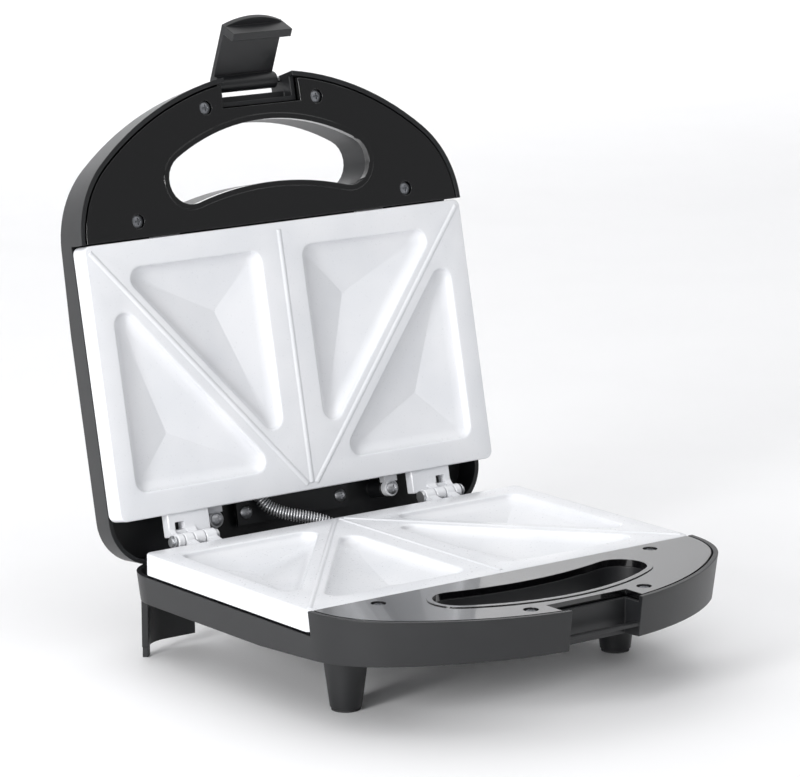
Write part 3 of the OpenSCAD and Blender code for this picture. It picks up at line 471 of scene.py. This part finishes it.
def in_circle(t):
    """Centre and radius of the circle inside a triangle."""
    s = [(t[1] - t[2]).length, (t[0] - t[2]).length, (t[0] - t[1]).length]
    area = abs((t[1] - t[0]).cross(t[2] - t[0])) / 2
    return (s[0] * t[0] + s[1] * t[1] + s[2] * t[2]) / sum(s), 2 * area / sum(s)


def rounded_ring(t, inset, r):
    """Points round a triangle drawn in by inset, with corners of radius r."""
    centre, inner = in_circle(t)
    k = (inner - inset - r) / inner
    points = []
    for i in range(3):
        p, before, after = t[i], t[i - 1], t[(i + 1) % 3]
        turns = []
        for a, b in ((before, p), (p, after)):
            n = Vector((b.y - a.y, a.x - b.x)).normalized()
            if n.dot((a + b) / 2 - centre) < 0:
                n = -n
            turns.append(math.atan2(n.y, n.x))
        turn = (turns[1] - turns[0] + math.pi) % (2 * math.pi) - math.pi
        middle = centre + (p - centre) * k
        for j in range(POCKET_STEPS):
            a = turns[0] + turn * j / (POCKET_STEPS - 1)
            points.append(middle + r * Vector((math.cos(a), math.sin(a))))
    return points


def pocket_profile():
    """Inset, depth and corner radius of each ring, from the rounded rim to where the slopes begin."""
    rim = sizes().rim_round / MM
    rings = []
    for i in range(RIM_STEPS + 1):
        a = math.radians(90) * i / RIM_STEPS
        rings.append((-rim * RIM_OUT + rim * RIM_SPAN * math.sin(a),
                      -rim * RIM_DROP * (1 - math.cos(a))))
    for i in range(1, WALL_STEPS + 1):
        a = math.radians(WALL_START + WALL_TURN * i / WALL_STEPS)
        inset = POCKET_WALL_W * (1 - math.cos(a))
        z = -POCKET_WALL_DEPTH * math.sin(a)
        if inset > rings[-1][0] + LEAST_IN and z < rings[-1][1] - LEAST_DOWN:
            rings.append((inset, z))
    return [(inset, z, max(LEAST_R, POCKET_R * (1 - max(inset, 0) / POCKET_WALL_W) + max(0, -inset)))
            for inset, z in rings]


def pocket_ring(bm, place, side, t, inset, r, z):
    """One ring of vertices of a pocket, on the right half or mirrored to the left."""
    return loop_of(bm, [Vector((side * p.x, p.y)) for p in rounded_ring(t, inset, r)], place, z)


def add_pocket(bm, place, side, t):
    """A pocket's wall and the slopes that meet at its lowest point; gives its rim."""
    slopes = bm.faces.layers.int["slopes"]
    profile = pocket_profile()
    loops = [pocket_ring(bm, place, side, t, inset, r, z) for inset, z, r in profile]
    for a, b in zip(loops, loops[1:]):
        join_loops(bm, a, b)
    inset, z, _ = profile[-1]
    tip_inset = in_circle(t)[1] - TIP
    for k in SLOPE_RINGS:
        loops.append(pocket_ring(bm, place, side, t, inset + (tip_inset - inset) * k, TIP_R,
                                 z + (-POCKET_DEPTH - z) * k))
        for face in join_loops(bm, loops[-2], loops[-1]):
            face[slopes] = 1
    bm.faces.new(loops[-1])[slopes] = 1
    return loops[0]


def add_boss(bm, place, side, t):
    """A pocket's underside, which stands below the web; gives the ring where it leaves the web."""
    rings = [pocket_ring(bm, place, side, t, inset, r, z) for inset, r, z in BOSS_RINGS]
    for a, b in zip(rings, rings[1:]):
        join_loops(bm, a, b)
    bm.faces.new(rings[-1])
    return rings[0]


def plate_loop(inset):
    """Outline of the plate with its rounded corners, drawn in by inset."""
    right = []
    for r, cy, a0, out in ((PLATE_FRONT_R, PLATE_FRONT_R, -90, -1),
                           (PLATE_REAR_R, PLATE_D - PLATE_REAR_R, 0, 1)):
        corner_r = max(LEAST_R, r - inset)
        shift = r - inset - corner_r
        cx = PLATE_W / 2 - r + shift
        cy += out * shift
        for i in range(CORNER_STEPS + 1):
            a = math.radians(a0 + 90 * i / CORNER_STEPS)
            right.append(Vector((cx + corner_r * math.cos(a), cy + corner_r * math.sin(a))))
    return right + [Vector((-p.x, p.y)) for p in reversed(right)]


def add_skirt(bm, place, border):
    """Rounded shoulder, side wall and the rim of the hollow underside; gives the ring round the web."""
    rings = [(PLATE_EDGE_R * (1 - math.sin(a)), -PLATE_EDGE_R * (1 - math.cos(a)))
             for a in (math.radians(90 * i / EDGE_STEPS) for i in range(1, EDGE_STEPS + 1))]
    rings += [(0.0, -PLATE_T), (PLATE_WALL, -PLATE_T), (PLATE_WALL, -WEB_DEPTH)]
    last = border
    for inset, z in rings:
        ring = loop_of(bm, plate_loop(inset), place, z)
        join_loops(bm, last, ring)
        last = ring
    return last


def add_rib(bm, place, start, end):
    """A cutting rib: a low ridge with rounded shoulders, laid on the flat of the plate."""
    along = (end - start).normalized()
    across = Vector((-along.y, along.x))
    half = [(RIB_W * w, RIB_H * h) for w, h in RIB_SECTION] + [(RIB_W / 2, -RIB_SUNK)]
    section = [(-w, z) for w, z in reversed(half)] + [(0, RIB_H)] + half
    prism(bm, *([place(*(p + across * w), z) for w, z in section] for p in (start, end)))


def arm_outline(half):
    """Side view of a knuckle's arm; the upper one rises from the block to its tip in a hollow curve."""
    tip, heel = ((HINGE_Y + y, half.axis_z + z) for y, z in (half.arm_tip, ARM_HEEL))
    line = [(half.arm_y, half.arm_low), (half.arm_y, half.arm_top)]
    if half.block:
        for i in range(1, NECK_STEPS):
            a = math.radians(90 * i / NECK_STEPS)
            line.append((half.arm_y + (tip[0] - half.arm_y) * math.sin(a),
                         half.arm_top + (tip[1] - half.arm_top) * (1 - math.cos(a))))
    return line + [tip, heel]


def add_knuckle(bm, half, side, x0, x1):
    """A hinge knuckle: a bored barrel and the arm that carries it."""
    def point(w, u, v):
        return half.place(side * w, HINGE_Y + u, half.axis_z + v)

    end_r = BARREL_R - BARREL_CHAMFER
    section = ((x0, end_r), (x0 + BARREL_CHAMFER, BARREL_R),
               (x1 - BARREL_CHAMFER, BARREL_R), (x1, end_r),
               (x1, half.bore), (x0, half.bore))
    bored_round(bm, point, section, BARREL_STEPS)
    outline = arm_outline(half)
    prism(bm, *([half.place(side * x, y, z) for y, z in outline]
                for x in (x0 + ARM_INSET, x1 - ARM_INSET)))


def add_hinge_block(bm, place, side):
    """The block that carries the upper knuckles, with a square window through it."""
    def ring(x0, x1, y0, y1, z, r):
        corners = ((x1 - r, y0 + r, -90), (x1 - r, y1 - r, 0),
                   (x0 + r, y1 - r, 90), (x0 + r, y0 + r, 180))
        turns = [90 / BLOCK_CORNER_STEPS * i for i in range(BLOCK_CORNER_STEPS + 1)]
        return [bm.verts.new(place(side * (cx + r * math.cos(math.radians(a0 + turn))),
                                   cy + r * math.sin(math.radians(a0 + turn)), z))
                for cx, cy, a0 in corners for turn in turns]

    def outer(inset, z, r):
        return ring(x0 + inset, x1 - inset, y0, y1 - inset, z, r)

    def window(z):
        return ring(*(KNUCKLE_X + x for x in WINDOW_X), *WINDOW_Y, z, WINDOW_R)

    x0, x1 = (KNUCKLE_X + x for x in BLOCK_X)
    y0, y1 = BLOCK_Y
    join_round(bm, [
        outer(BLOCK_CHAMFER, BLOCK_LOW, BLOCK_EDGE_R), outer(0, BLOCK_LOW + BLOCK_CHAMFER, BLOCK_R),
        outer(0, BLOCK_TOP - BLOCK_CHAMFER, BLOCK_R), outer(BLOCK_CHAMFER, BLOCK_TOP, BLOCK_EDGE_R),
        window(BLOCK_TOP), window(BLOCK_LOW)])


def add_bar(bm, place, x, width, span_y, span_z):
    """A square bar from front to back."""
    w, (low, top) = width / 2, span_z
    corners = ((-w, low), (w, low), (w, top), (-w, top))
    prism(bm, *([place(x + dx, y, z) for dx, z in corners] for y in span_y))


def add_tab(bm, place, x):
    """A screw tab on the rear wall: a round end with a hole, on a short arm."""
    low, top, c = TAB_LOW, TAB_TOP, TAB_CHAMFER
    section = ((low, TAB_HOLE_R), (low, TAB_R - c), (low + c, TAB_R),
               (top - c, TAB_R), (top, TAB_R - c), (top, TAB_HOLE_R))
    bored_round(bm, lambda z, u, v: place(x + u, TAB_Y + v, z), section, TAB_STEPS)
    add_bar(bm, place, x, TAB_ARM_W, TAB_ARM_Y, (low + TAB_ARM_INSET, top - TAB_ARM_INSET))


def add_tongue(bm, place, x):
    """A front tongue that slides under the handle cover."""
    add_bar(bm, place, x, TONGUE_W, TONGUE_Y, TONGUE_Z)


def build_plate(name, half):
    """One cooking plate with its pockets, ribs, skirt, tabs and knuckles as a cast surface."""
    bm = bmesh.new()
    slopes = bm.faces.layers.int.new("slopes")
    place = half.place
    pockets = [(side, t) for side in (1, -1) for t in pocket_triangles()]
    rims = [add_pocket(bm, place, side, t) for side, t in pockets]
    border = loop_of(bm, plate_loop(PLATE_EDGE_R), place, 0)
    fill_between(bm, rims + [border])
    web = add_skirt(bm, place, border)
    bosses = [add_boss(bm, place, side, t) for side, t in pockets]
    fill_between(bm, bosses + [web])
    add_rib(bm, place, Vector((0, PLATE_FRONT_R)), Vector((0, PLATE_D - PLATE_FRONT_R)))
    for side in (1, -1):
        apex = Vector((0, PLATE_D))
        diagonal = Vector((side * PLATE_W / 2, -PLATE_D))
        along = diagonal.normalized()
        add_rib(bm, place, apex + along * RIB_END, apex + along * (diagonal.length - RIB_END))
        for x0, x1 in half.knuckles:
            add_knuckle(bm, half, side, KNUCKLE_X + x0, KNUCKLE_X + x1)
        if half.block:
            add_hinge_block(bm, place, side)
        add_tab(bm, place, side * TAB_X)
        add_tongue(bm, place, side * TONGUE_X)
    return settle(name, bm, "sprayed_ceramic_coating", PLATE_SHARP, slopes)


# ---------------------------------------------------------------- sprung conduit

# Route of the conduit's middle line in the shared frame, in millimetres: its ends, the direction at
# each end, and how far each end pulls the line its way
ROUTE_START = Vector((9.0, 68.01, 37.7))
ROUTE_END = Vector((-22.0, 94.766, 65.369))
ROUTE_UP = Vector((0.0, 0.0, 1.0))
ROUTE_IN = Vector((0.0, 0.2113, 0.9774))
ROUTE_PULL = 21.0
ROUTE_STEPS = 400
CURLS = 40
CURL_STEPS = 24
WIRE_SIDES = 10
SLEEVE_R = 1.9
SLEEVE_SIDES = 20
# The sleeve takes one route point in this many
SLEEVE_SKIP = 8


def route_points():
    """Evenly spaced points of the conduit's middle line."""
    controls = [ROUTE_START, ROUTE_START + ROUTE_PULL * ROUTE_UP,
                ROUTE_END - ROUTE_PULL * ROUTE_IN, ROUTE_END]

    def at(t):
        s = 1 - t
        shares = (s ** 3, 3 * s * s * t, 3 * s * t * t, t ** 3)
        return sum((share * point for share, point in zip(shares, controls)), Vector())

    raw = [at(i / ROUTE_STEPS) for i in range(ROUTE_STEPS + 1)]
    lengths = [0.0]
    for a, b in zip(raw, raw[1:]):
        lengths.append(lengths[-1] + (b - a).length)
    spaced = []
    k = 0
    for i in range(ROUTE_STEPS + 1):
        want = lengths[-1] * i / ROUTE_STEPS
        while k < ROUTE_STEPS - 1 and lengths[k + 1] < want:
            k += 1
        share = (want - lengths[k]) / (lengths[k + 1] - lengths[k])
        spaced.append(raw[k].lerp(raw[k + 1], share))
    return spaced


def sweep(name, line, radius, sides, material):
    """A round tube along a line of points in millimetres, with capped ends and no twist."""
    bm = bmesh.new()
    # Any direction off the line serves to start from
    normal = Vector((1, 0.3, 0.2))
    rings = []
    for i, p in enumerate(line):
        d = (line[min(i + 1, len(line) - 1)] - line[max(i - 1, 0)]).normalized()
        normal = (normal - normal.dot(d) * d).normalized()
        other = d.cross(normal)
        rings.append([bm.verts.new((p + radius * (math.cos(a) * normal + math.sin(a) * other)) * MM)
                      for a in (2 * math.pi * j / sides for j in range(sides))])
    for a, b in zip(rings, rings[1:]):
        join_loops(bm, a, b)
    bm.faces.new(rings[0])
    bm.faces.new(rings[-1])
    return settle(name, bm, material, TUBE_SHARP)


def coil_line():
    """The wire's own line: it winds round the route at the coil's radius."""
    route = route_points()
    radius = sizes().coil / MM
    # The line never runs along this direction, so the curls can be set out from it
    side = Vector((1, 0.4, 0)).normalized()
    line = []
    steps = CURLS * CURL_STEPS
    for i in range(steps + 1):
        where = i / steps * ROUTE_STEPS
        k = min(int(where), ROUTE_STEPS - 1)
        p = route[k].lerp(route[k + 1], where - k)
        d = (route[k + 1] - route[k]).normalized()
        u = d.cross(side).normalized()
        v = d.cross(u)
        a = 2 * math.pi * i / CURL_STEPS
        line.append(p + radius * (math.cos(a) * u + math.sin(a) * v))
    return line


# ---------------------------------------------------------------- operators

class TOASTER_OT_housings(bpy.types.Operator):
    """Shade both moulded housings as smooth satin plastic"""
    bl_idname = "toaster.housings"
    bl_label = "Housings"

    def execute(self, context):
        for body in ("base", "lid"):
            moulded_copy(f"{body}_housing", f"{body}_housing_moulding", body,
                         "satin_moulded_abs")
        return {"FINISHED"}


class TOASTER_OT_handle_covers(bpy.types.Operator):
    """Shade the polished covers of both handles"""
    bl_idname = "toaster.handle_covers"
    bl_label = "Handle covers"

    def execute(self, context):
        for body in ("base", "lid"):
            moulded_copy(f"{body}_handle_cover", f"{body}_deck", body,
                         "polished_moulded_abs")
        return {"FINISHED"}


class TOASTER_OT_plates(bpy.types.Operator):
    """Build the two coated cooking plates with soft pocket rims"""
    bl_idname = "toaster.plates"
    bl_label = "Cooking plates"

    def execute(self, context):
        for name, half, body, node in (("lower_plate_casting", LOWER, "base", "lower_plate"),
                                       ("upper_plate_casting", UPPER, "lid", "upper_plate")):
            plate = build_plate(name, half)
            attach(plate, body)
            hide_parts(node)
        return {"FINISHED"}


class TOASTER_OT_screws(bpy.types.Operator):
    """Finish the cover screws, plate screws and bracket screws"""
    bl_idname = "toaster.screws"
    bl_label = "Screws"

    def execute(self, context):
        for node in ("base_cover_screws", "lid_cover_screws"):
            dress(node, "black_oxide_steel")
        for node in ("lower_plate_screws", "upper_plate_screws",
                     "lower_bracket_screws", "upper_bracket_screws"):
            dress(node, "nickel_plated_steel")
        return {"FINISHED"}


class TOASTER_OT_latch(bpy.types.Operator):
    """Shade the rocking latch and its pin"""
    bl_idname = "toaster.latch"
    bl_label = "Latch"

    def execute(self, context):
        moulded_copy("latch", "latch_moulding", "latch", "satin_moulded_abs")
        dress("latch_pin", "zinc_plated_steel")
        return {"FINISHED"}


class TOASTER_OT_conduit(bpy.types.Operator):
    """Wind the sprung wire conduit and its sleeve between the halves"""
    bl_idname = "toaster.conduit"
    bl_label = "Sprung conduit"

    def execute(self, context):
        spring = sweep("conduit_coil", coil_line(), sizes().wire / MM / 2, WIRE_SIDES,
                       "drawn_spring_steel")
        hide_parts("conduit_spring")
        sleeve = sweep("conduit_sleeve", route_points()[::SLEEVE_SKIP], SLEEVE_R, SLEEVE_SIDES,
                       "braided_glass_sleeve")
        for piece in (spring, sleeve):
            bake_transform(piece)
        return {"FINISHED"}


class TOASTER_OT_hinge_hardware(bpy.types.Operator):
    """Finish the hinge pins, clips, brackets and ferrules"""
    bl_idname = "toaster.hinge_hardware"
    bl_label = "Hinge hardware"

    def execute(self, context):
        for node in ("hinge_pin_left", "hinge_pin_right", "hinge_pin_clips",
                     "lower_ferrule", "upper_ferrule"):
            dress(node, "zinc_plated_steel")
        for node in ("lower_bracket", "upper_bracket"):
            dress(node, "stoved_black_enamel")
        return {"FINISHED"}


class TOASTER_OT_heating_parts(bpy.types.Operator):
    """Finish the parts inside the halves"""
    bl_idname = "toaster.heating_parts"
    bl_label = "Heating parts"

    def execute(self, context):
        for node, material in (
                ("lower_heater", "heat_tinted_sheath"), ("upper_heater", "heat_tinted_sheath"),
                ("lower_heater_clips", "zinc_plated_steel"), ("upper_heater_clips", "zinc_plated_steel"),
                ("lower_reflector", "rolled_aluminium"), ("upper_reflector", "rolled_aluminium"),
                ("thermostat", "zinc_plated_steel"), ("thermal_fuse", "glazed_steatite"),
                ("terminal_block", "ivory_nylon")):
            dress(node, material)
        return {"FINISHED"}


class TOASTER_OT_lamps(bpy.types.Operator):
    """Finish the two lamp lenses in the lid"""
    bl_idname = "toaster.lamps"
    bl_label = "Lamps"

    def execute(self, context):
        dress("power_lamp", "red_polycarbonate")
        dress("ready_lamp", "green_polycarbonate")
        return {"FINISHED"}


class TOASTER_OT_feet(bpy.types.Operator):
    """Finish the rubber foot pads and the inlet bush"""
    bl_idname = "toaster.feet"
    bl_label = "Feet and bush"

    def execute(self, context):
        dress("foot_pads", "moulded_rubber")
        dress("cord_inlet_bush", "moulded_rubber")
        return {"FINISHED"}


# Camera of the photograph, fitted to the plate: angles in degrees, distance and aim in millimetres
CAMERA_AZIMUTH = -37.26
CAMERA_ELEVATION = 12.01
CAMERA_ROLL = -0.21
CAMERA_DISTANCE = 1855.45
CAMERA_AIM = (0.0, -3.44, 93.7)
CAMERA_MOVE_RIGHT = -8.36
CAMERA_MOVE_UP = 32.87
FOCAL_PIXELS = 4020.49
IMAGE_WIDTH = 800.0
SENSOR_MM = 36.0
# Nearest and farthest distance that it sees, in metres
CLIP_START, CLIP_END = 0.05, 50

# Paper roll in metres: how far it reaches to each side, where it lies from its front end to the turn,
# the turn's radius, and the height where it ends
ROLL_REACH = 5.0
ROLL_LYING = (-4.0, -2.0, 0.0, 3.2)
ROLL_TURN_R, ROLL_STEPS = 1.2, 15
ROLL_TOP = 3.2

# Soft lights: name, place, aim and size in millimetres, and watts
MIDDLE = (0, 0, 120)
LIGHTS = (
    ("ceiling", (0, 200, 2900), (0, 200, 0), (7600, 7600), 165.0),
    ("window_left", (-1500, -420, 520), MIDDLE, (320, 640), 15.0),
    ("fill_left", (-2600, -1700, 500), MIDDLE, (1000, 700), 24.0),
    ("backdrop", (1900, 2300, 2300), (2500, 4400, 800), (3000, 600), 60.0),
)
WORLD_COLOUR, WORLD_STRENGTH = "#F7F8FA", 0.3


def soft_light(name, place_mm, aim_mm, size_mm, watts):
    """A white rectangular area light that faces what it is aimed at."""
    data = bpy.data.lights.new(name, "AREA")
    data.shape = "RECTANGLE"
    data.size, data.size_y = size_mm[0] * MM, size_mm[1] * MM
    data.energy = watts
    made = bpy.data.objects.new(name, data)
    made.location = Vector(place_mm) * MM
    aim = Vector(aim_mm) * MM - made.location
    made.rotation_euler = aim.to_track_quat("-Z", "Y").to_euler()
    bpy.context.scene.collection.objects.link(made)


def lay_floor():
    """The floor, which runs up behind the toaster in one sweep as a paper roll does."""
    bm = bmesh.new()
    line = [(y, 0.0) for y in ROLL_LYING]
    for i in range(1, ROLL_STEPS + 1):
        a = math.radians(90 / ROLL_STEPS * i)
        line.append((ROLL_LYING[-1] + ROLL_TURN_R * math.sin(a), ROLL_TURN_R * (1 - math.cos(a))))
    line.append((ROLL_LYING[-1] + ROLL_TURN_R, ROLL_TOP))
    rows = [[bm.verts.new((x, y, z)) for x in (-ROLL_REACH, 0, ROLL_REACH)] for y, z in line]
    for a, b in zip(rows, rows[1:]):
        for i in range(len(a) - 1):
            bm.faces.new((a[i], a[i + 1], b[i + 1], b[i]))
    floor = settle("studio_floor", bm, "studio_floor", STAGE_SHARP)


def place_camera(scene):
    """The camera of the photograph."""
    a, e, r = (math.radians(angle) for angle in (CAMERA_AZIMUTH, CAMERA_ELEVATION, CAMERA_ROLL))
    back = Vector((math.sin(a) * math.cos(e), -math.cos(a) * math.cos(e), math.sin(e)))
    right = Vector((math.cos(a), math.sin(a), 0))
    up = back.cross(right)
    aim = Vector(CAMERA_AIM) + right * CAMERA_MOVE_RIGHT + up * CAMERA_MOVE_UP
    right, up = right * math.cos(r) + up * math.sin(r), up * math.cos(r) - right * math.sin(r)
    data = bpy.data.cameras.new("camera")
    data.sensor_width = SENSOR_MM
    data.lens = FOCAL_PIXELS * SENSOR_MM / IMAGE_WIDTH
    data.clip_start, data.clip_end = CLIP_START, CLIP_END
    camera = bpy.data.objects.new("camera", data)
    axes = Matrix((right, up, back)).transposed()
    camera.matrix_world = Matrix.Translation((aim + back * CAMERA_DISTANCE) * MM) @ axes.to_4x4()
    scene.collection.objects.link(camera)
    scene.camera = camera


class TOASTER_OT_stage(bpy.types.Operator):
    """Lay the pale floor, set the studio light and place the camera"""
    bl_idname = "toaster.stage"
    bl_label = "Stage"

    def execute(self, context):
        lay_floor()
        world = bpy.data.worlds.new("studio")
        context.scene.world = world
        world.use_nodes = True
        sky = world.node_tree.nodes["Background"].inputs
        sky["Color"].default_value = [*srgb(WORLD_COLOUR), 1]
        sky["Strength"].default_value = WORLD_STRENGTH
        context.scene.view_settings.view_transform = "Standard"
        for light in LIGHTS:
            soft_light(*light)
        place_camera(context.scene)
        return {"FINISHED"}


OPERATORS = (
    TOASTER_OT_housings, TOASTER_OT_handle_covers, TOASTER_OT_plates, TOASTER_OT_screws,
    TOASTER_OT_latch, TOASTER_OT_conduit, TOASTER_OT_hinge_hardware, TOASTER_OT_heating_parts,
    TOASTER_OT_lamps, TOASTER_OT_feet, TOASTER_OT_stage,
)


class TOASTER_PT_panel(bpy.types.Panel):
    """Sizes, colours and the pieces of the toaster"""
    bl_idname = "TOASTER_PT_panel"
    bl_label = "Sandwich toaster"
    bl_space_type = "VIEW_3D"
    bl_region_type = "UI"
    bl_category = "Toaster"

    def draw(self, context):
        for group in (context.scene.toaster_sizes, context.scene.toaster_colours):
            for key in group.__annotations__:
                self.layout.prop(group, key)
        for operator in OPERATORS:
            self.layout.operator(operator.bl_idname)


CLASSES = (ToasterSizes, ToasterColours, *OPERATORS, TOASTER_PT_panel)


def register():
    for item in CLASSES:
        bpy.utils.register_class(item)
    bpy.types.Scene.toaster_sizes = bpy.props.PointerProperty(type=ToasterSizes)
    bpy.types.Scene.toaster_colours = bpy.props.PointerProperty(type=ToasterColours)


def unregister():
    del bpy.types.Scene.toaster_sizes
    del bpy.types.Scene.toaster_colours
    for item in reversed(CLASSES):
        bpy.utils.unregister_class(item)


def main():
    """Builds the whole toaster in the operators' order."""
    register()
    MADE.update(make_materials())
    for operator in OPERATORS:
        group, name = operator.bl_idname.split(".")
        getattr(getattr(bpy.ops, group), name)()


if __name__ == "__main__":
    main()
